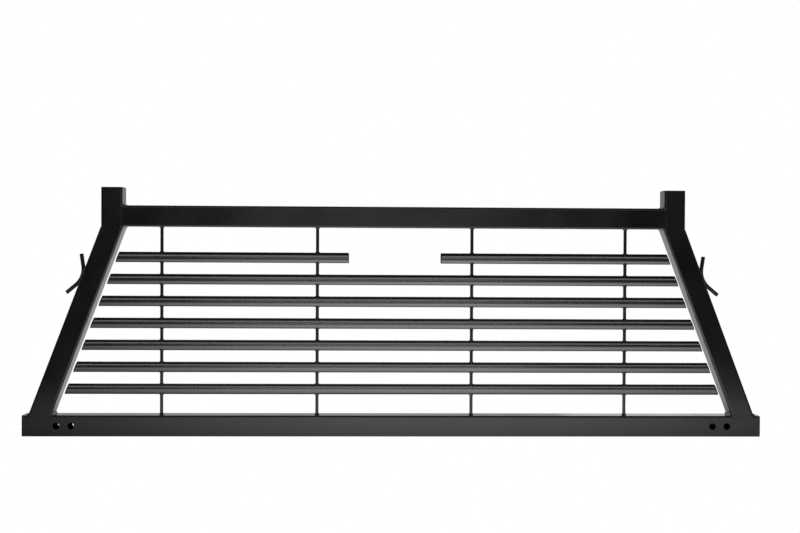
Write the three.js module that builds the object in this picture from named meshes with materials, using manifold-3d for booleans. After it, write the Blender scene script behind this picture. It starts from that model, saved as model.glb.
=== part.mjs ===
// Headache rack: the welded tube guard that stands behind the cab window, on the front end of a pickup truck's bed.
// Millimetres. X is across the truck, the rear-facing side of the rack looks along -Y, and Z is up.
// The origin is the middle of the bottom rail's underside.
import * as THREE from "three";
import Module from "manifold-3d";

const INCH = 25.4;

// Stock
const frameTube = { width: 2 * INCH, depth: 2 * INCH, wall: 2.1, corner: 5, outline: roundedOutline, segments: 3 };
const slatTube = { width: INCH, depth: INCH / 2, wall: 1.2, outline: ovalOutline, segments: 16 };
const rodDiameter = (5 / 16) * INCH;
const hookBarDiameter = (3 / 8) * INCH;

// Frame
const overallWidth = 70 * INCH;
const overallHeight = 597;
const sideFootX = 847; // middle of a side rail where it stands on the bottom rail
const uprightX = 676.6; // middle of an upright
const uprightFootZ = 500;
const topRailUnderside = 502.5;

// Slats and rods
const slatCount = 7;
const firstSlatZ = 112;
const slatPitch = 52.95;
const slatEndGap = 8; // the rods carry the slats, whose ends stand this far from the side rails
const lightGap = 221.5; // opening in the top slat for the cab's brake light
const rodCount = 4;
const rodPitch = 374;
const rodClearance = 0.3; // on the radius, where a rod goes through a slat

// Holes through the bottom rail for the bolts of the bed brackets
const boltHoleDiameter = (5 / 8) * INCH;
const boltHolePositions = [772.5, 807.5];

// Tie-down hooks: bar bent to a wide V, with the middle of the bend against the outer face of the side rail
const hookZ = 372; // on the middle line of the side rail, level with the bend
const hookHalfLength = 55; // along the bar, from the middle of the bend to a tip
const hookBendRadius = 50; // to the middle of the bar
const hookAngle = THREE.MathUtils.degToRad(29); // between each arm and the face

// Plugs
const flangeThickness = 2.5;
const spigotDepth = 16;
const spigotWall = 2;
const plugClearance = 0.3;

const weldGap = 0.3; // root gap at every welded joint
const roundSegments = 32;

// Worked out from the above
const bottomRailTop = frameTube.width;
const uprightHeight = overallHeight - flangeThickness - uprightFootZ;
const leanRun = sideFootX - uprightX;
const leanRise = uprightFootZ - bottomRailTop;
const lean = Math.atan2(leanRun, leanRise);
const sideRailLevelWidth = frameTube.width / Math.cos(lean);

const wasm = await Module();
wasm.setup();

const powderCoat = new THREE.MeshStandardMaterial({ color: 0x151516, roughness: 0.42, metalness: 0.0 });
const blackPlastic = new THREE.MeshStandardMaterial({ color: 0x101010, roughness: 0.6, metalness: 0.0 });

// Middle of a side rail at height z, measured outward from the middle of the rack.
function sideRailX(z) {
  return sideFootX - (z - bottomRailTop) * Math.tan(lean);
}

// Half the clear width between the side rails at height z.
function openingX(z) {
  return sideRailX(z) - sideRailLevelWidth / 2;
}

// Outline of a square tube with round corners, drawn inset from the tube's surface.
function roundedOutline(tube, inset, Outline) {
  const x = tube.width / 2 - tube.corner;
  const y = tube.depth / 2 - tube.corner;
  const radius = tube.corner - inset;
  const quarter = Math.PI / 2;
  const outline = new Outline();
  outline.absarc(x, y, radius, 0, quarter);
  outline.absarc(-x, y, radius, quarter, 2 * quarter);
  outline.absarc(-x, -y, radius, 2 * quarter, 3 * quarter);
  outline.absarc(x, -y, radius, 3 * quarter, 4 * quarter);
  outline.closePath();
  return outline;
}

// Outline of an oval tube, drawn inset from the tube's surface.
function ovalOutline(tube, inset, Outline) {
  return new Outline().absellipse(0, 0, tube.width / 2 - inset, tube.depth / 2 - inset, 0, 2 * Math.PI);
}

// The outline at one inset, extruded along +Z from z = 0. With a wall it is hollow and open at both ends.
function extrudeOutline(tube, inset, wall, length) {
  const section = tube.outline(tube, inset, THREE.Shape);
  if (wall > 0) section.holes.push(tube.outline(tube, inset + wall, THREE.Path));
  return new THREE.ExtrudeGeometry(section, { depth: length, bevelEnabled: false, curveSegments: tube.segments });
}

function tubeAlongZ(tube, length) {
  return extrudeOutline(tube, 0, tube.wall, length);
}

// A length of tube from x = start to x = end, with the tube's width upright.
function tubeAlongX(tube, start, end) {
  return tubeAlongZ(tube, end - start).rotateY(Math.PI / 2).translate(start, 0, 0);
}

// Slopes the end of a slat, which lies at x = end, to run parallel to the side rail.
function mitreEnd(geometry, side, end, z) {
  const position = geometry.attributes.position;
  for (let i = 0; i < position.count; i++) {
    const isAtEnd = Math.abs(position.getX(i) - end) < slatTube.width; // all other points are at the far end
    if (isAtEnd) position.setX(i, end - side * (position.getZ(i) - z) * Math.tan(lean));
  }
  return geometry;
}

function toSolid(geometry) {
  const vertices = geometry.index ? geometry.toNonIndexed() : geometry;
  const mesh = new wasm.Mesh({
    numProp: 3,
    vertProperties: new Float32Array(vertices.attributes.position.array),
    triVerts: Uint32Array.from({ length: vertices.attributes.position.count }, (_, i) => i),
  });
  mesh.merge();
  return new wasm.Manifold(mesh);
}

function toGeometry(solid) {
  const mesh = solid.getMesh();
  const geometry = new THREE.BufferGeometry();
  geometry.setAttribute("position", new THREE.BufferAttribute(mesh.vertProperties, 3));
  geometry.setIndex(new THREE.BufferAttribute(mesh.triVerts, 1));
  geometry.computeVertexNormals();
  return geometry;
}

function drill(geometry, drills) {
  const drilled = drills.reduce((solid, tool) => solid.subtract(toSolid(tool)), toSolid(geometry));
  return toGeometry(drilled);
}

function cylinderAlongZ(diameter, length) {
  return new THREE.CylinderGeometry(diameter / 2, diameter / 2, length, roundSegments).rotateX(Math.PI / 2);
}

function cylinderAlongY(diameter, length) {
  return new THREE.CylinderGeometry(diameter / 2, diameter / 2, length, roundSegments);
}

function bottomRail() {
  const halfLength = overallWidth / 2 - flangeThickness;
  const rail = tubeAlongX(frameTube, -halfLength, halfLength).translate(0, 0, frameTube.width / 2);
  const drills = [-1, 1].flatMap((side) =>
    boltHolePositions.map((x) =>
      cylinderAlongY(boltHoleDiameter, 2 * frameTube.depth).translate(side * x, 0, frameTube.width / 2),
    ),
  );
  return drill(rail, drills);
}

function topRail() {
  const halfLength = uprightX - frameTube.width / 2 - weldGap;
  return tubeAlongX(frameTube, -halfLength, halfLength).translate(0, 0, topRailUnderside + frameTube.width / 2);
}

// A leaning tube cut level at both ends is the level section of the tube, sheared as it rises.
function sideRail(side) {
  const foot = bottomRailTop + weldGap;
  const height = uprightFootZ - weldGap - foot;
  const shear = new THREE.Matrix4().makeShear(0, 0, 0, 0, -side * Math.tan(lean), 0);
  return tubeAlongZ(frameTube, height)
    .scale(1 / Math.cos(lean), 1, 1)
    .applyMatrix4(shear)
    .translate(side * sideRailX(foot), 0, foot);
}

function upright(side) {
  return tubeAlongZ(frameTube, uprightHeight).translate(side * uprightX, 0, uprightFootZ);
}

function rodX(index) {
  return (index - (rodCount - 1) / 2) * rodPitch;
}

function rod(index) {
  const foot = bottomRailTop + weldGap;
  const head = topRailUnderside - weldGap;
  return cylinderAlongZ(rodDiameter, head - foot).translate(rodX(index), 0, (foot + head) / 2);
}

function slatZ(row) {
  return firstSlatZ + (row - 1) * slatPitch;
}

// End of a slat's tube on its middle line, where the flange of its plug begins.
function slatEndX(side, z) {
  return side * (openingX(z) - slatEndGap - flangeThickness);
}

function drillForRods(slat, z) {
  const holeDiameter = rodDiameter + 2 * rodClearance;
  slat.computeBoundingBox();
  const { min, max } = slat.boundingBox;
  const drills = [];
  for (let i = 0; i < rodCount; i++) {
    if (rodX(i) < min.x || rodX(i) > max.x) continue;
    drills.push(cylinderAlongZ(holeDiameter, 2 * slatTube.width).translate(rodX(i), 0, z));
  }
  return drill(slat, drills);
}

function slat(row) {
  const z = slatZ(row);
  const [left, right] = [slatEndX(-1, z), slatEndX(1, z)];
  const tube = tubeAlongX(slatTube, left, right).translate(0, 0, z);
  return drillForRods(mitreEnd(mitreEnd(tube, -1, left, z), 1, right, z), z);
}

// Half of the top slat, which stops at the opening for the brake light.
function halfSlat(side) {
  const z = slatZ(slatCount);
  const innerEnd = side * (lightGap / 2 + flangeThickness);
  const outerEnd = slatEndX(side, z);
  const tube = tubeAlongX(slatTube, Math.min(innerEnd, outerEnd), Math.max(innerEnd, outerEnd)).translate(0, 0, z);
  return drillForRods(mitreEnd(tube, side, outerEnd, z), z);
}

// A push-in tube plug: a flange over the tube's end at z = 0 and a hollow spigot down inside it.
function plug(tube) {
  const flange = extrudeOutline(tube, 0, 0, flangeThickness);
  const spigotLength = spigotDepth + flangeThickness / 2; // runs into the flange
  const spigot = extrudeOutline(tube, tube.wall + plugClearance, spigotWall, spigotLength);
  return toGeometry(toSolid(flange).add(toSolid(spigot.translate(0, 0, -spigotDepth))));
}

function uprightCap(side) {
  return plug(frameTube).translate(side * uprightX, 0, overallHeight - flangeThickness);
}

function railPlug(side) {
  const x = side * (overallWidth / 2 - flangeThickness);
  return plug(frameTube).rotateY((side * Math.PI) / 2).translate(x, 0, frameTube.width / 2);
}

// Plug for the sloped end of a slat, sheared to the same slope.
function slatPlug(row, side) {
  const shear = new THREE.Matrix4().makeShear(0, 0, 0, 0, -side * Math.tan(lean), 0);
  const z = slatZ(row);
  return plug(slatTube).rotateY((side * Math.PI) / 2).applyMatrix4(shear).translate(slatEndX(side, z), 0, z);
}

// Plug for the square end of half the top slat, at the opening for the brake light.
function innerSlatPlug(side) {
  const x = side * (lightGap / 2 + flangeThickness);
  return plug(slatTube).rotateY((-side * Math.PI) / 2).translate(x, 0, slatZ(slatCount));
}

// Middle line of a hook's bar, with z up the face it stands on and x away from it.
class HookLine extends THREE.Curve {
  getPoint(t, target = new THREE.Vector3()) {
    const distance = (2 * t - 1) * hookHalfLength;
    const turn = THREE.MathUtils.clamp(distance / hookBendRadius, -hookAngle, hookAngle);
    const straight = distance - turn * hookBendRadius;
    const x = hookBendRadius * (1 - Math.cos(turn)) + straight * Math.sin(turn);
    const z = hookBendRadius * Math.sin(turn) + straight * Math.cos(turn);
    return target.set(x, 0, z);
  }
}

function tieDownHook(side) {
  const bar = new THREE.Shape().absarc(0, 0, hookBarDiameter / 2, 0, 2 * Math.PI);
  const standOff = (frameTube.width + hookBarDiameter) / 2 + weldGap;
  const hook = new THREE.ExtrudeGeometry(bar, { steps: 30, extrudePath: new HookLine(), curveSegments: 10 })
    .translate(standOff, 0, 0)
    .rotateY(-lean)
    .translate(sideRailX(hookZ), 0, hookZ);
  return side < 0 ? hook.rotateZ(Math.PI) : hook;
}

const rack = new THREE.Group();
rack.name = "headache_rack";

function add(name, geometry, material) {
  const mesh = new THREE.Mesh(geometry, material);
  mesh.name = name;
  rack.add(mesh);
}

add("bottom_rail", bottomRail(), powderCoat);
add("top_rail", topRail(), powderCoat);
for (let row = 1; row < slatCount; row++) {
  add(`slat_${row}`, slat(row), powderCoat);
}
["left_outer_rod", "left_inner_rod", "right_inner_rod", "right_outer_rod"].forEach((name, index) => {
  add(name, rod(index), powderCoat);
});
for (const [name, side] of [["left", -1], ["right", 1]]) {
  add(`${name}_side_rail`, sideRail(side), powderCoat);
  add(`${name}_upright`, upright(side), powderCoat);
  add(`slat_${slatCount}_${name}`, halfSlat(side), powderCoat);
  add(`${name}_tie_down_hook`, tieDownHook(side), powderCoat);
  add(`${name}_upright_cap`, uprightCap(side), blackPlastic);
  add(`${name}_rail_plug`, railPlug(side), blackPlastic);
  add(`slat_${slatCount}_${name}_inner_plug`, innerSlatPlug(side), blackPlastic);
  for (let row = 1; row <= slatCount; row++) {
    add(`slat_${row}_${name}_plug`, slatPlug(row, side), blackPlastic);
  }
}

export default rack;
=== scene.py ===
"""Headache rack for a pickup truck's bed: smooth tubes, weld beads, plugs and finishes on the CAD frame."""

import math

import bmesh
import bpy
from mathutils import Matrix, Vector


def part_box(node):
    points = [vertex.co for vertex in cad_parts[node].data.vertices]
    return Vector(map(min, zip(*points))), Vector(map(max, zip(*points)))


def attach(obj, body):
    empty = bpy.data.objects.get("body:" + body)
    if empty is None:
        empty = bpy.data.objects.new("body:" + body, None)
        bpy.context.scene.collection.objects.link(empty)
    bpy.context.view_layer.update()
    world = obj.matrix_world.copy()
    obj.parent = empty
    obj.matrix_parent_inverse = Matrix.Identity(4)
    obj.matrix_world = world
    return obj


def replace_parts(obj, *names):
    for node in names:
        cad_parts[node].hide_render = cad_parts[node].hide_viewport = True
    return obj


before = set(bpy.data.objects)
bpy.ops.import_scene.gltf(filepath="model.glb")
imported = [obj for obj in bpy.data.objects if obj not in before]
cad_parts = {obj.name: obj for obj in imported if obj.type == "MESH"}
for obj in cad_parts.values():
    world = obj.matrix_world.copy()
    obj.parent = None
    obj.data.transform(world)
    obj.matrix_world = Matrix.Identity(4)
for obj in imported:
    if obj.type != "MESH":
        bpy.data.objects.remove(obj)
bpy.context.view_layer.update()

MM = 0.001

# Stock, as in the CAD source
TUBE_CORNER = 5 * MM
TUBE_WALL = 2.1 * MM
SLAT_WALL = 1.2 * MM
PLUG_FLANGE = 2.5 * MM
PLUG_CLEARANCE = 0.3 * MM
PLUG_WALL = 2 * MM
BOLT_HOLE_RADIUS = 7.9375 * MM
BOLT_HOLE_X = (772.5 * MM, 807.5 * MM)
HOOK_RADIUS = 4.7625 * MM
HOOK_HALF_LENGTH = 55 * MM
HOOK_BEND_RADIUS = 50 * MM
HOOK_ANGLE = math.radians(29)

# Edges: depth and length of the chamfer on a tube's cut end, and radii
WELD_BEVEL = (0.8 * MM, 2.0 * MM)
DEBURRED = (0.25 * MM, 0.25 * MM)
PLUG_ROUND = 1.1 * MM
PLUG_DOME = 0.35 * MM
SPIGOT_DEPTH = 16 * MM
HOLE_ROUND = 0.7 * MM
BAR_ROUND = 1.2 * MM
DOME_RINGS = (0.1, 0.3, 0.5, 0.7, 0.85)  # sizes of the rings on a plug's domed face, against its rim

# Welds
RIPPLE_PITCH = 2.3 * MM
RIPPLE_HEIGHT = 0.22 * MM
RIPPLE_MIDDLE = 0.6  # the part of a ripple's height that lies at the bead's mean surface
RIPPLE_CURVE = 0.5  # how far a ripple bows along the bead, in ripples
RING_SPACING = 0.4 * MM
FACE_STEPS = 6
EMBED = 0.9 * MM  # how far a bead's back lies inside the metal
SKIN = 0.15 * MM  # flush beads stay this far inside the tube's face
THIN_SKIN = SKIN / 4  # the least that any bead stays inside the front and back faces
ROOT_GAP = 0.3 * MM
FRAME_LEG = 4.5 * MM
FLUSH_LEG = 2.6 * MM
ROD_LEG = 2.6 * MM
TACK_LEG = 1.6 * MM
HOOK_LEG = 2.5 * MM
HOOK_WELD_HALF = 12 * MM
HOOK_BEAD_END = 0.15  # size of a hook's bead at its very end, against its full size
ROD_BEAD_NARROW = 0.35  # reach of a rod's bead to its front and back, against its reach to the sides
FRAME_CROWN = 0.5 * MM
THIN_CROWN = 0.3 * MM

# Smoothness
CORNER_STEPS = 8
OVAL_STEPS = 64
BAR_STEPS = 32
HOLE_STEPS = 64
HOOK_STEPS = 40
ROUND_STEPS = 3
PLUG_ROUND_STEPS = 4
SHARP_ANGLE = math.radians(38)

# Finishes: sizes and depths of the relief, and ranges of shade and roughness
NOISE_RANGE = (0.3, 0.7)
COAT_PATCH_SIZE = 90 * MM
COAT_SHADES = (0.0050, 0.0070)
COAT_ROUGHNESS = (0.19, 0.25)
PEEL_SIZE = 2.6 * MM
PEEL_DEPTH = 0.018 * MM
SPECKLE_SIZE = 0.45 * MM
SPECKLE_DEPTH = 0.005 * MM
FRAME_COAT_IOR = 1.5
SLAT_COAT_IOR = 1.95  # set to lighten the slats, and higher than any real powder coat's
PLASTIC_PATCH_SIZE = 25 * MM
PLASTIC_SHADES = (0.012, 0.016)
PLASTIC_ROUGHNESS = (0.42, 0.55)
GRAIN_SIZE = 0.6 * MM
GRAIN_DEPTH = 0.03 * MM

# Stage, in metres and in units of the white backdrop's radiance
CAMERA_PLACE = (-0.0731, -2.8435, 0.4470)
CAMERA_TURN = (-1.7267, -0.7506, -0.2936)  # yaw, pitch and roll in degrees, from a level view along +Y
CAMERA_LENS = 52.83
FLOOR_HALF = 30
POOL_CENTRE = (0.15, -0.50, 0)  # the floor's brightest place, to the rack
POOL_REACH = (1.7, 0.95, 1)
POOL_GLOW = 2.2
FRONT_GLOW = 0.05  # the floor's radiance in front of the rack, outside the pool
BACK_GLOW = 0.9  # the floor's radiance from BACK_GLOW_Y backwards
BACK_GLOW_Y = 0.4
WORLD_WHITE = 0.65  # the world's radiance straight behind the rack
WORLD_SIDE = 0.35  # the world's radiance to the rack's sides
WORLD_DARK_Y = -0.45  # y of the directions where the world is dark
WORLD_FULL_Y = 0.05  # y of the directions where it has its full radiance
SOFT_BOX_DISTANCE = 4


# ---------------------------------------------------------------- sizes read from the frame


def rows_at(node, z, reach=0.05 * MM):
    """Lowest and highest x of a CAD node's corners at height z."""
    xs = [v.co.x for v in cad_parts[node].data.vertices if abs(v.co.z - z) < reach]
    return min(xs), max(xs)


def sloped_face(node, pick):
    """Function of z that gives x on a leaning rail's lowest-x (pick=min) or highest-x (pick=max) face."""
    low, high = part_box(node)
    foot, head = pick(rows_at(node, low.z)), pick(rows_at(node, high.z))
    return lambda z: foot + (head - foot) * (z - low.z) / (high.z - low.z)


HALF_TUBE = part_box("bottom_rail")[1].y
RAIL_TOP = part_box("bottom_rail")[1].z
INNER_FACE = {-1: sloped_face("left_side_rail", max), 1: sloped_face("right_side_rail", min)}
OUTER_FACE = {-1: sloped_face("left_side_rail", min), 1: sloped_face("right_side_rail", max)}
LEAN = math.atan(INNER_FACE[-1](1) - INNER_FACE[-1](0))
SIDES = {"left": -1, "right": 1}
TOP_ROW = 7  # the row of slats that the brake light's gap splits in two
SLATS = [f"slat_{row}" for row in range(1, TOP_ROW)] + [f"slat_{TOP_ROW}_{word}" for word in SIDES]
RODS = [f"{word}_{place}_rod" for word in SIDES for place in ("outer", "inner")]


def middle(node):
    low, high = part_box(node)
    return (low + high) / 2


def length_of(node, axis):
    low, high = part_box(node)
    return high[axis] - low[axis]


SLAT_HALF_HEIGHT = length_of("slat_1", 2) / 2
SLAT_HALF_DEPTH = length_of("slat_1", 1) / 2
ROD_RADIUS = length_of(RODS[0], 0) / 2
LIGHT_GAP_REACH = 0.3  # a slat's end nearer the middle of the rack than this is at the brake light's gap


# ---------------------------------------------------------------- outlines


def square_outline(half, inset):
    """Points (u, v) of a square tube's outline with round corners, anticlockwise."""
    radius = TUBE_CORNER - inset
    centre = half - TUBE_CORNER
    points = []
    for quarter, (su, sv) in enumerate(((1, 1), (-1, 1), (-1, -1), (1, -1))):
        for i in range(CORNER_STEPS + 1):
            angle = (quarter + i / CORNER_STEPS) * math.pi / 2
            u, v = radius * math.cos(angle), radius * math.sin(angle)
            points.append((su * centre + u, sv * centre + v))
    return points


def oval_outline(half_u, half_v, inset=0.0, steps=OVAL_STEPS):
    angles = [2 * math.pi * i / steps for i in range(steps)]
    return [((half_u - inset) * math.cos(a), (half_v - inset) * math.sin(a)) for a in angles]


def even_outline(points):
    """The outline again with evenly spaced points, each with its outward normal: (u, v, nu, nv)."""
    corners = [Vector(p) for p in points]
    sides = list(zip(corners, corners[1:] + corners[:1]))
    lengths = [(b - a).length for a, b in sides]
    count = round(sum(lengths) / RING_SPACING)
    places, walked, index = [], 0.0, 0
    for i in range(count):
        target = sum(lengths) * i / count
        while walked + lengths[index] <= target:
            walked += lengths[index]
            index += 1
        a, b = sides[index]
        places.append(a.lerp(b, (target - walked) / lengths[index]))
    spaced = []
    for i, place in enumerate(places):
        along = (places[(i + 1) % count] - places[i - 1]).normalized()
        spaced.append((place.x, place.y, along.y, -along.x))
    return spaced


def quarter_round(radius, steps):
    """(inset, depth) pairs that round an edge over, from the end face to the side."""
    turns = [math.pi / 2 * i / steps for i in range(steps + 1)]
    return [(radius * (1 - math.sin(a)), radius * (1 - math.cos(a))) for a in turns]


# ---------------------------------------------------------------- meshes


def make_object(name, bm, material):
    """Object from a bmesh, smooth except at sharp edges, riding on the rack."""
    bmesh.ops.recalc_face_normals(bm, faces=bm.faces)
    for face in bm.faces:
        face.smooth = True
    for edge in bm.edges:
        edge.smooth = edge.calc_face_angle(0) < SHARP_ANGLE
    mesh = bpy.data.meshes.new(name)
    bm.to_mesh(mesh)
    bm.free()
    mesh.materials.append(material)
    piece = bpy.data.objects.new(name, mesh)
    bpy.context.scene.collection.objects.link(piece)
    weighted = piece.modifiers.new("face_weighted_normals", "WEIGHTED_NORMAL")
    weighted.keep_sharp = True
    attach(piece, "root")
    return piece


def stand_for(node, bm, material):
    """The fine mesh of a CAD node, shown in its place."""
    kind = "moulding" if material is BLACK_PLASTIC else "coated"
    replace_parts(make_object(f"{node}_{kind}", bm, material), node)


def add_loft(bm, rings, loop=False):
    """Skin through rings of points. The end rings get a face each, or join each other in a loop."""
    skins = [[bm.verts.new(point) for point in ring] for ring in rings]
    pairs = list(zip(skins, skins[1:])) + ([(skins[-1], skins[0])] if loop else [])
    for lower, upper in pairs:
        count = len(lower)
        for i in range(count):
            j = (i + 1) % count
            bm.faces.new((lower[i], lower[j], upper[j], upper[i]))
    if not loop:
        bm.faces.new(skins[0])
        bm.faces.new(skins[-1])


def tube_mesh(place, length, outline, wall, ends):
    """Tube open at both ends. place(u, v, w) is where section point (u, v) is at distance w along it."""
    (depth_0, length_0), (depth_1, length_1) = ends
    stations = (
        (wall, 0),
        (depth_0, 0),
        (0, length_0),
        (0, length - length_1),
        (depth_1, length),
        (wall, length),
    )
    bm = bmesh.new()
    add_loft(bm, [[place(u, v, w) for u, v in outline(inset)] for inset, w in stations], loop=True)
    return bm


def bar_mesh(place, length, radius, steps):
    """Solid round bar with rounded-over ends, in the same terms as tube_mesh."""
    end = [(radius - inset, w) for inset, w in quarter_round(BAR_ROUND, ROUND_STEPS)]
    body = [(radius, BAR_ROUND + (length - 2 * BAR_ROUND) * i / steps) for i in range(1, steps)]
    stations = end + body + [(r, length - w) for r, w in reversed(end)]
    bm = bmesh.new()
    add_loft(bm, [[place(u, v, w) for u, v in oval_outline(r, r, steps=BAR_STEPS)] for r, w in stations])
    return bm


def plug_mesh(place, outline, wall):
    """Tube plug with a domed flange, w = 0 at the tube's end and w < 0 inside it."""
    rim = PLUG_FLANGE - PLUG_DOME
    dome = [(PLUG_ROUND, scale, PLUG_FLANGE - PLUG_DOME * scale**2) for scale in DOME_RINGS]
    edge = [(inset, 1, rim - depth) for inset, depth in quarter_round(PLUG_ROUND, PLUG_ROUND_STEPS)]
    spigot = wall + PLUG_CLEARANCE
    inside = [
        (0, 1, DEBURRED[1]),
        (DEBURRED[0], 1, 0),
        (spigot, 1, 0),
        (spigot, 1, BAR_ROUND - SPIGOT_DEPTH),
        (spigot + BAR_ROUND / 2, 1, -SPIGOT_DEPTH),
        (spigot + PLUG_WALL, 1, -SPIGOT_DEPTH),
        (spigot + PLUG_WALL, 1, 0),
    ]
    rings = [
        [place(u * scale, v * scale, w) for u, v in outline(inset)]
        for inset, scale, w in dome + edge + inside
    ]
    bm = bmesh.new()
    add_loft(bm, rings)
    return bm


def drilled(bm, cutters):
    """The mesh with the cutters' solids taken out of it."""
    pieces = []
    for source in (bm, cutters):
        bmesh.ops.recalc_face_normals(source, faces=source.faces)
        mesh = bpy.data.meshes.new("drilling")
        source.to_mesh(mesh)
        source.free()
        piece = bpy.data.objects.new("drilling", mesh)
        bpy.context.scene.collection.objects.link(piece)
        pieces.append(piece)
    solid, cutter = pieces
    boolean = solid.modifiers.new("drill", "BOOLEAN")
    boolean.operation = "DIFFERENCE"
    boolean.solver = "EXACT"
    boolean.object = cutter
    result = bmesh.new()
    result.from_object(solid, bpy.context.evaluated_depsgraph_get())
    for piece in pieces:
        mesh = piece.data
        bpy.data.objects.remove(piece)
        bpy.data.meshes.remove(mesh)
    return result


def add_hole_cutter(bm, x, z):
    """Solid for a hole from front to back through the bottom rail, with both rims rounded over."""
    rim = [(BOLT_HOLE_RADIUS + inset, y - HALF_TUBE) for inset, y in quarter_round(HOLE_ROUND, ROUND_STEPS)]
    front = [(rim[0][0], -HALF_TUBE - TUBE_WALL)] + rim
    stations = front + [(radius, -y) for radius, y in reversed(front)]
    add_loft(bm, [[(x + u, y, z + v) for u, v in oval_outline(r, r, steps=HOLE_STEPS)] for r, y in stations])


# ---------------------------------------------------------------- materials


def node_material(name):
    """A new material with its node tree, its Principled shader and its texture coordinates."""
    material = bpy.data.materials.new(name)
    material.use_nodes = True
    tree = material.node_tree
    shader = tree.nodes["Principled BSDF"]
    coordinates = tree.nodes.new("ShaderNodeTexCoord").outputs["Object"]
    return material, tree, shader, coordinates


def noise(tree, coordinates, size, detail):
    """Noise whose blobs are about the given size across, in metres."""
    node = tree.nodes.new("ShaderNodeTexNoise")
    node.inputs["Scale"].default_value = 1 / size
    node.inputs["Detail"].default_value = detail
    tree.links.new(coordinates, node.inputs["Vector"])
    return node.outputs["Fac"]


def spread(tree, value, low, high):
    """Maps noise from its usual range to low..high."""
    node = tree.nodes.new("ShaderNodeMapRange")
    node.inputs["From Min"].default_value, node.inputs["From Max"].default_value = NOISE_RANGE
    node.inputs["To Min"].default_value = low
    node.inputs["To Max"].default_value = high
    tree.links.new(value, node.inputs["Value"])
    return node.outputs["Result"]


def bump(tree, height, depth, under=None):
    """Relief of the given depth in metres, laid over another relief if there is one."""
    node = tree.nodes.new("ShaderNodeBump")
    node.inputs["Strength"].default_value = 1.0
    node.inputs["Distance"].default_value = depth
    tree.links.new(height, node.inputs["Height"])
    if under:
        tree.links.new(under, node.inputs["Normal"])
    return node.outputs["Normal"]


def grey(tree, value):
    node = tree.nodes.new("ShaderNodeCombineColor")
    for channel in ("Red", "Green", "Blue"):
        tree.links.new(value, node.inputs[channel])
    return node.outputs["Color"]


def powder_coat_material(name, refractive_index):
    """Satin black powder coat: orange peel a few millimetres across, fine speckle and duller patches."""
    material, tree, shader, coordinates = node_material(name)
    patches = noise(tree, coordinates, COAT_PATCH_SIZE, detail=4)
    peel = noise(tree, coordinates, PEEL_SIZE, detail=1)
    speckle = noise(tree, coordinates, SPECKLE_SIZE, detail=2)
    tree.links.new(grey(tree, spread(tree, patches, *COAT_SHADES)), shader.inputs["Base Color"])
    tree.links.new(spread(tree, patches, *COAT_ROUGHNESS), shader.inputs["Roughness"])
    shader.inputs["IOR"].default_value = refractive_index
    relief = bump(tree, peel, PEEL_DEPTH)
    tree.links.new(bump(tree, speckle, SPECKLE_DEPTH, under=relief), shader.inputs["Normal"])
    return material


def black_plastic_material():
    """Moulded black plastic with a fine eroded grain."""
    material, tree, shader, coordinates = node_material("black_plastic")
    patches = noise(tree, coordinates, PLASTIC_PATCH_SIZE, detail=3)
    grain = noise(tree, coordinates, GRAIN_SIZE, detail=3)
    tree.links.new(grey(tree, spread(tree, patches, *PLASTIC_SHADES)), shader.inputs["Base Color"])
    tree.links.new(spread(tree, grain, *PLASTIC_ROUGHNESS), shader.inputs["Roughness"])
    tree.links.new(bump(tree, grain, GRAIN_DEPTH), shader.inputs["Normal"])
    return material


POWDER_COAT = powder_coat_material("powder_coat", FRAME_COAT_IOR)
SLAT_COAT = powder_coat_material("slat_powder_coat", SLAT_COAT_IOR)
BLACK_PLASTIC = black_plastic_material()


# ---------------------------------------------------------------- tubes, bars and plugs


def frame_outline(inset=0.0):
    return square_outline(HALF_TUBE, inset)


def slat_outline(inset=0.0):
    return oval_outline(SLAT_HALF_HEIGHT, SLAT_HALF_DEPTH, inset)


def level_place(node):
    """Placing function for a level tube, with the section's u upright and v front to back."""
    low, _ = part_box(node)
    centre = middle(node)
    return lambda u, v, w: Vector((low.x + w, centre.y + v, centre.z + u))


def upright_place(node):
    low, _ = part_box(node)
    centre = middle(node)
    return lambda u, v, w: Vector((centre.x + u, centre.y + v, low.z + w))


def side_rail_place(side):
    """Placing function for a side rail, whose level section is wider than the tube by its lean."""
    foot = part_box("left_side_rail")[0].z

    def place(u, v, w):
        z = foot + w
        centre = (INNER_FACE[side](z) + OUTER_FACE[side](z)) / 2
        return Vector((centre + u / math.cos(LEAN), v, z))

    return place


def slat_end(node, side):
    """Function of u that gives x at a slat tube's end: square at the brake light's gap, else sloped."""
    low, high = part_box(node)
    widest = low.x if side < 0 else high.x
    slope = 0 if abs(widest) < LIGHT_GAP_REACH else side * math.tan(LEAN)
    return lambda u: widest - slope * (u + SLAT_HALF_HEIGHT)


def slat_place(node):
    """Placing function for a slat's tube. w runs over the length at its underside."""
    length = length_of(node, 0)
    centre = middle(node)
    left_end, right_end = slat_end(node, -1), slat_end(node, 1)

    def place(u, v, w):
        start, end = left_end(u), right_end(u)
        return Vector((start + (end - start) * w / length, centre.y + v, centre.z + u))

    return place


def frame_tube(place, length, ends):
    return tube_mesh(place, length, frame_outline, TUBE_WALL, ends)


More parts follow.
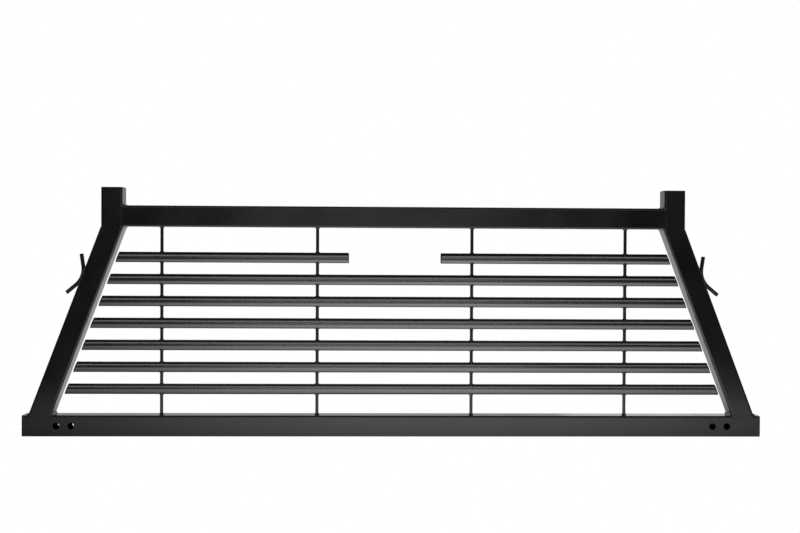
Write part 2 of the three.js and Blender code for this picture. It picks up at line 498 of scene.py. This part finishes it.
def build_tubes():
    rail = frame_tube(level_place("bottom_rail"), length_of("bottom_rail", 0), (DEBURRED, DEBURRED))
    cutters = bmesh.new()
    for side in (-1, 1):
        for x in BOLT_HOLE_X:
            add_hole_cutter(cutters, side * x, middle("bottom_rail").z)
    stand_for("bottom_rail", drilled(rail, cutters), POWDER_COAT)

    top = frame_tube(level_place("top_rail"), length_of("top_rail", 0), (WELD_BEVEL, WELD_BEVEL))
    stand_for("top_rail", top, POWDER_COAT)
    for word, side in SIDES.items():
        node = f"{word}_side_rail"
        rail = frame_tube(side_rail_place(side), length_of(node, 2), (WELD_BEVEL, WELD_BEVEL))
        stand_for(node, rail, POWDER_COAT)
        node = f"{word}_upright"
        upright = frame_tube(upright_place(node), length_of(node, 2), (WELD_BEVEL, DEBURRED))
        stand_for(node, upright, POWDER_COAT)


def build_slats():
    ends = (DEBURRED, DEBURRED)
    for node in SLATS:
        slat = tube_mesh(slat_place(node), length_of(node, 0), slat_outline, SLAT_WALL, ends)
        stand_for(node, slat, SLAT_COAT)


def build_rods():
    for node in RODS:
        length = length_of(node, 2)
        stand_for(node, bar_mesh(upright_place(node), length, ROD_RADIUS, steps=1), POWDER_COAT)


def outer_face_axes(side):
    """Unit vectors out of a side rail's outer face and up along it."""
    outward = Vector((side * math.cos(LEAN), 0, math.sin(LEAN)))
    upward = Vector((-side * math.sin(LEAN), 0, math.cos(LEAN)))
    return outward, upward


def hook_place(side):
    """Placing function for a tie-down hook, with w along its bar and u away from the side rail."""
    outward, upward = outer_face_axes(side)

    def place(u, v, w):
        distance = w - HOOK_HALF_LENGTH
        turn = max(-HOOK_ANGLE, min(HOOK_ANGLE, distance / HOOK_BEND_RADIUS))
        straight = distance - turn * HOOK_BEND_RADIUS
        out = HOOK_BEND_RADIUS * (1 - math.cos(turn)) + straight * math.sin(turn) + u * math.cos(turn)
        up = HOOK_BEND_RADIUS * math.sin(turn) + straight * math.cos(turn) - u * math.sin(turn)
        return outward * out + upward * up + Vector((0, v, 0))

    return place


def hook_middle(side, node):
    """Where the middle of a hook's bend is, from the CAD node's box."""
    place = hook_place(side)
    reach = [
        place(u, 0, w)
        for u in (-HOOK_RADIUS, HOOK_RADIUS)
        for w in (0, HOOK_HALF_LENGTH, 2 * HOOK_HALF_LENGTH)
    ]
    centre = Vector([(min(p[k] for p in reach) + max(p[k] for p in reach)) / 2 for k in range(3)])
    return middle(node) - centre


def build_hooks():
    for word, side in SIDES.items():
        node = f"{word}_tie_down_hook"
        place, offset = hook_place(side), hook_middle(side, node)
        length = 2 * HOOK_HALF_LENGTH
        bar = bar_mesh(lambda u, v, w: place(u, v, w) + offset, length, HOOK_RADIUS, HOOK_STEPS)
        stand_for(node, bar, POWDER_COAT)


def build_plugs():
    for word, side in SIDES.items():
        tube_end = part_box(f"{word}_upright")[1].z
        centre = middle(f"{word}_upright")
        cap = plug_mesh(lambda u, v, w: Vector((centre.x + u, v, tube_end + w)), frame_outline, TUBE_WALL)
        stand_for(f"{word}_upright_cap", cap, BLACK_PLASTIC)

        rail_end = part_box("bottom_rail")[1].x
        height = middle("bottom_rail").z
        end_plug = plug_mesh(
            lambda u, v, w: Vector((side * (rail_end + w), v, height + u)), frame_outline, TUBE_WALL
        )
        stand_for(f"{word}_rail_plug", end_plug, BLACK_PLASTIC)

        half_slat = f"slat_{TOP_ROW}_{word}"
        build_slat_plug(f"{half_slat}_inner_plug", half_slat, -side)
        for row in range(1, TOP_ROW + 1):
            slat = half_slat if row == TOP_ROW else f"slat_{row}"
            build_slat_plug(f"slat_{row}_{word}_plug", slat, side)


def build_slat_plug(node, slat, side):
    """Plug in the end of a slat, sloped as that end is."""
    centre = middle(slat)
    end = slat_end(slat, side)

    def place(u, v, w):
        return Vector((end(u) + side * w, centre.y + v, centre.z + u))

    stand_for(node, plug_mesh(place, slat_outline, SLAT_WALL), BLACK_PLASTIC)


build_tubes()
build_slats()
build_rods()
build_hooks()
build_plugs()


# ---------------------------------------------------------------- welds


def corner_drop(y):
    """How far a frame tube's face has fallen away at y, where its round corner has begun."""
    past = min(max(0.0, abs(y) - (HALF_TUBE - TUBE_CORNER)), TUBE_CORNER)
    return TUBE_CORNER - math.sqrt(TUBE_CORNER**2 - past**2)


def within(y):
    """y held just under the front and back faces of the frame tubes."""
    limit = HALF_TUBE - SKIN
    return max(-limit, min(limit, y))


def add_bead(bm, stations, crown, closed=True):
    """Rippled weld bead. Each station has a toe on either piece of metal and a point inside, between them."""
    middles = [(a + b) / 2 for a, b, _ in stations]
    ahead = middles[1:] + middles[:1]
    gaps = [(q - p).length for p, q in zip(middles, ahead)]
    total = sum(gaps) if closed else sum(gaps[:-1])
    pitch = total / max(1, round(total / RIPPLE_PITCH))
    rings, walked = [], 0.0
    for (toe_a, toe_b, back), centre, gap in zip(stations, middles, gaps):
        outward = (centre - back).normalized()
        ring = [back]
        for j in range(FACE_STEPS + 1):
            across = j / FACE_STEPS
            bulge = 4 * across * (1 - across)
            ripple = abs(math.sin(math.pi * (walked / pitch + RIPPLE_CURVE * bulge)))
            height = crown + RIPPLE_HEIGHT * (ripple - RIPPLE_MIDDLE)
            point = toe_a.lerp(toe_b, across) + outward * bulge * height
            point.y = max(THIN_SKIN - HALF_TUBE, min(HALF_TUBE - THIN_SKIN, point.y))
            ring.append(point)
        rings.append(ring)
        walked += gap
    add_loft(bm, rings, loop=closed)


def weld(name, beads):
    """One piece of weld metal from (stations, crown, closed) beads."""
    bm = bmesh.new()
    for stations, crown, closed in beads:
        add_bead(bm, stations, crown, closed)
    make_object(name, bm, POWDER_COAT)


def side_rail_foot_bead(side):
    """Round the foot of a side rail: fillets on its two sides, and flush across the front and the back."""
    place = side_rail_place(side)
    stations = []
    for u, v, nu, nv in even_outline(frame_outline()):
        leg = FLUSH_LEG + (FRAME_LEG - FLUSH_LEG) * abs(nu)
        toe_a = place(u - nu * THIN_SKIN, v - nv * SKIN, leg)
        foot = place(u, v, 0)
        y = within(foot.y + nv * leg)
        toe_b = Vector((foot.x + nu * leg, y, RAIL_TOP - corner_drop(y)))
        y = foot.y - nv * EMBED
        back = Vector((foot.x - nu * EMBED, y, RAIL_TOP - corner_drop(y) - EMBED))
        stations.append((toe_a, toe_b, back))
    return stations


def upright_foot_bead(side, word):
    """Butt joint between an upright and its side rail."""
    upright = upright_place(f"{word}_upright")
    rail = side_rail_place(side)
    rail_length = length_of(f"{word}_side_rail", 2)
    stations = []
    for u, v, nu, nv in even_outline(frame_outline()):
        toe_a = upright(u - nu * THIN_SKIN, v - nv * SKIN, FLUSH_LEG)
        toe_b = rail(u - nu * THIN_SKIN, v - nv * SKIN, rail_length - FLUSH_LEG)
        back = upright(u - nu * 2 * EMBED, v - nv * 2 * EMBED, 0)
        stations.append((toe_a, toe_b, back))
    return stations


def top_rail_bead(side, word):
    """Round the end of the top rail, on the inner face of an upright."""
    rail = middle("top_rail")
    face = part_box(f"{word}_upright")[side < 0].x
    stations = []
    for u, v, nu, nv in even_outline(frame_outline()):
        leg = FLUSH_LEG + (FRAME_LEG - FLUSH_LEG) * abs(nu)
        toe_a = Vector((face - side * leg, v - nv * SKIN, rail.z + u - nu * THIN_SKIN))
        y = within(v + nv * leg)
        toe_b = Vector((face + side * corner_drop(y), y, rail.z + u + nu * leg))
        y = v - nv * EMBED
        back = Vector((face + side * (corner_drop(y) + EMBED), y, rail.z + u - nu * EMBED))
        stations.append((toe_a, toe_b, back))
    return stations


def rod_bead(node, leg, surface, direction):
    """Round a rod, on a surface whose height is a function of y. The rod leaves it in the given direction."""
    centre = middle(node)
    stations = []
    for u, v, nu, nv in even_outline(oval_outline(ROD_RADIUS, ROD_RADIUS)):
        x, y = centre.x + u, centre.y + v
        reach = leg * (ROD_BEAD_NARROW + (1 - ROD_BEAD_NARROW) * abs(nu))
        toe_a = Vector((x, y, surface(y) + direction * leg))
        y_b = within(y + nv * reach)
        toe_b = Vector((x + nu * reach, y_b, surface(y_b)))
        y_in = y - nv * EMBED
        back = Vector((x - nu * EMBED, y_in, surface(y_in) - direction * EMBED))
        stations.append((toe_a, toe_b, back))
    return stations


def hook_bead(side, node, front):
    """Short bead along one side of a hook's bar, between it and the side rail's outer face."""
    outward, upward = outer_face_axes(side)
    contact = hook_middle(side, node) - outward * (HOOK_RADIUS + ROOT_GAP)
    count = round(2 * HOOK_WELD_HALF / RING_SPACING)
    stations = []
    for i in range(count + 1):
        along = (2 * i / count - 1) * HOOK_WELD_HALF
        past = max(0.0, abs(along) - (HOOK_WELD_HALF - HOOK_LEG)) / HOOK_LEG
        size = max(HOOK_BEAD_END, math.sqrt(max(0.0, 1 - past**2)))
        gap = HOOK_BEND_RADIUS * (1 - math.cos(along / HOOK_BEND_RADIUS))
        root = contact + upward * along
        across = Vector((0, front, 0))
        toe_a = root + outward * (gap + HOOK_RADIUS * size) + across * HOOK_RADIUS * size
        toe_b = root + across * (HOOK_RADIUS + HOOK_LEG) * size
        back = root + outward * gap / 2 - outward * EMBED
        stations.append((toe_a, toe_b, back))
    return stations


def oval_surface(centre, up):
    """Height of a slat's upper (up = 1) or lower (up = -1) surface as a function of y."""

    def height(y):
        return centre.z + up * SLAT_HALF_HEIGHT * math.sqrt(1 - ((y - centre.y) / SLAT_HALF_DEPTH) ** 2)

    return height


def rod_beads(node):
    """Beads at a rod's ends and where it crosses each slat."""
    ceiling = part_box("top_rail")[0].z
    ends = [
        rod_bead(node, ROD_LEG, lambda y: RAIL_TOP - corner_drop(y), 1),
        rod_bead(node, ROD_LEG, lambda y: ceiling + corner_drop(y), -1),
    ]
    crossings = []
    for slat in SLATS:
        low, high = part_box(slat)
        if low.x < middle(node).x < high.x:
            centre = middle(slat)
            for up in (-1, 1):
                crossings.append(rod_bead(node, TACK_LEG, oval_surface(centre, up), up))
    return [(stations, THIN_CROWN, True) for stations in ends + crossings]


def build_welds():
    for word, side in SIDES.items():
        weld(f"{word}_side_rail_foot_weld", [(side_rail_foot_bead(side), FRAME_CROWN, True)])
        weld(f"{word}_upright_foot_weld", [(upright_foot_bead(side, word), FRAME_CROWN, True)])
        weld(f"{word}_top_rail_weld", [(top_rail_bead(side, word), FRAME_CROWN, True)])
        hook = f"{word}_tie_down_hook"
        weld(f"{hook}_weld", [(hook_bead(side, hook, front), THIN_CROWN, False) for front in (-1, 1)])
    for node in RODS:
        weld(f"{node}_welds", rod_beads(node))


build_welds()


# ---------------------------------------------------------------- floor, lights and camera


def smooth_step(tree, value, start, end):
    """Result that eases from one (value, result) pair to another."""
    node = tree.nodes.new("ShaderNodeMapRange")
    node.interpolation_type = "SMOOTHSTEP"
    node.inputs["From Min"].default_value, node.inputs["To Min"].default_value = start
    node.inputs["From Max"].default_value, node.inputs["To Max"].default_value = end
    tree.links.new(value, node.inputs["Value"])
    return node.outputs["Result"]


def arithmetic(tree, operation, first, second=None):
    node = tree.nodes.new("ShaderNodeMath")
    node.operation = operation
    for value, socket in zip((first, second), node.inputs):
        if value:
            tree.links.new(value, socket)
    return node.outputs["Value"]


def white_to_camera(tree, strength):
    """The given strength to the rack, and plain white to the camera."""
    path = tree.nodes.new("ShaderNodeLightPath")
    seen = tree.nodes.new("ShaderNodeMix")
    seen.data_type = "FLOAT"
    seen.inputs["B"].default_value = 1.0
    tree.links.new(path.outputs["Is Camera Ray"], seen.inputs["Factor"])
    tree.links.new(strength, seen.inputs["A"])
    return seen.outputs["Result"]


def floor_material():
    """White to the camera. To the rack it glows most in a pool in front of it, and all over behind it."""
    material = bpy.data.materials.new("floor_white")
    material.use_nodes = True
    tree = material.node_tree
    tree.nodes.remove(tree.nodes["Principled BSDF"])
    glow = tree.nodes.new("ShaderNodeEmission")
    pool = tree.nodes.new("ShaderNodeMapping")
    pool.vector_type = "TEXTURE"
    pool.inputs["Location"].default_value = POOL_CENTRE
    pool.inputs["Scale"].default_value = POOL_REACH
    coordinates = tree.nodes.new("ShaderNodeTexCoord").outputs["Object"]
    tree.links.new(coordinates, pool.inputs["Vector"])
    distance = tree.nodes.new("ShaderNodeVectorMath")
    distance.operation = "LENGTH"
    tree.links.new(pool.outputs["Vector"], distance.inputs[0])
    split = tree.nodes.new("ShaderNodeSeparateXYZ")
    tree.links.new(coordinates, split.inputs["Vector"])
    around = smooth_step(tree, split.outputs["Y"], (0, FRONT_GLOW), (BACK_GLOW_Y, BACK_GLOW))
    in_pool = smooth_step(tree, distance.outputs["Value"], (0, POOL_GLOW), (1, 0))
    strength = arithmetic(tree, "MAXIMUM", in_pool, around)
    tree.links.new(white_to_camera(tree, strength), glow.inputs["Strength"])
    tree.links.new(glow.outputs["Emission"], tree.nodes["Material Output"].inputs["Surface"])
    return material


def add_floor():
    bm = bmesh.new()
    bmesh.ops.create_grid(bm, x_segments=1, y_segments=1, size=FLOOR_HALF)
    mesh = bpy.data.meshes.new("floor")
    bm.to_mesh(mesh)
    bm.free()
    mesh.materials.append(floor_material())
    floor = bpy.data.objects.new("floor", mesh)
    bpy.context.scene.collection.objects.link(floor)


def add_soft_box(name, side, x, z, width, height, radiance):
    """Soft box in front of the rack (side = -1) or behind it (1), facing it, and not seen by the camera."""
    data = bpy.data.lights.new(name, "AREA")
    data.shape = "RECTANGLE"
    data.size, data.size_y = width, height
    data.energy = radiance * math.pi * width * height
    light = bpy.data.objects.new(name, data)
    light.location = (x, side * SOFT_BOX_DISTANCE, z)
    light.rotation_euler = Vector((0, -side, 0)).to_track_quat("-Z", "Y").to_euler()
    light.visible_camera = False
    bpy.context.scene.collection.objects.link(light)


def set_world():
    """White to the camera. To the rack it is white behind and paler to the sides, and dark in front."""
    world = bpy.data.worlds.new("studio")
    bpy.context.scene.world = world
    world.use_nodes = True
    tree = world.node_tree
    split = tree.nodes.new("ShaderNodeSeparateXYZ")
    tree.links.new(tree.nodes.new("ShaderNodeTexCoord").outputs["Generated"], split.inputs["Vector"])
    sideways = arithmetic(tree, "ABSOLUTE", split.outputs["X"])
    white = smooth_step(tree, sideways, (0, WORLD_WHITE), (1, WORLD_SIDE))
    behind = smooth_step(tree, split.outputs["Y"], (WORLD_DARK_Y, 0), (WORLD_FULL_Y, 1))
    background = tree.nodes["Background"]
    background.inputs["Color"].default_value = (1, 1, 1, 1)
    strength = white_to_camera(tree, arithmetic(tree, "MULTIPLY", white, behind))
    tree.links.new(strength, background.inputs["Strength"])


def add_camera():
    data = bpy.data.cameras.new("camera")
    data.sensor_width = 36
    data.lens = CAMERA_LENS
    camera = bpy.data.objects.new("camera", data)
    yaw, pitch, roll = (math.radians(angle) for angle in CAMERA_TURN)
    turn = Matrix.Rotation(yaw, 4, "Z") @ Matrix.Rotation(pitch, 4, "X") @ Matrix.Rotation(roll, 4, "Y")
    camera.matrix_world = Matrix.Translation(CAMERA_PLACE) @ turn @ Matrix.Rotation(math.pi / 2, 4, "X")
    bpy.context.scene.collection.objects.link(camera)
    bpy.context.scene.camera = camera


add_floor()
set_world()
add_soft_box("front_low", side=-1, x=0, z=0.175, width=1.8, height=0.35, radiance=2.2)
add_soft_box("front_high", side=-1, x=0, z=1.9, width=8.0, height=1.0, radiance=1.7)
add_soft_box("front_middle", side=-1, x=0, z=1.1, width=1.8, height=0.6, radiance=0.9)
add_soft_box("back_right", side=1, x=1.7, z=0.6, width=1.2, height=0.8, radiance=0.6)
add_camera()
bpy.context.scene.view_settings.view_transform = "Standard"
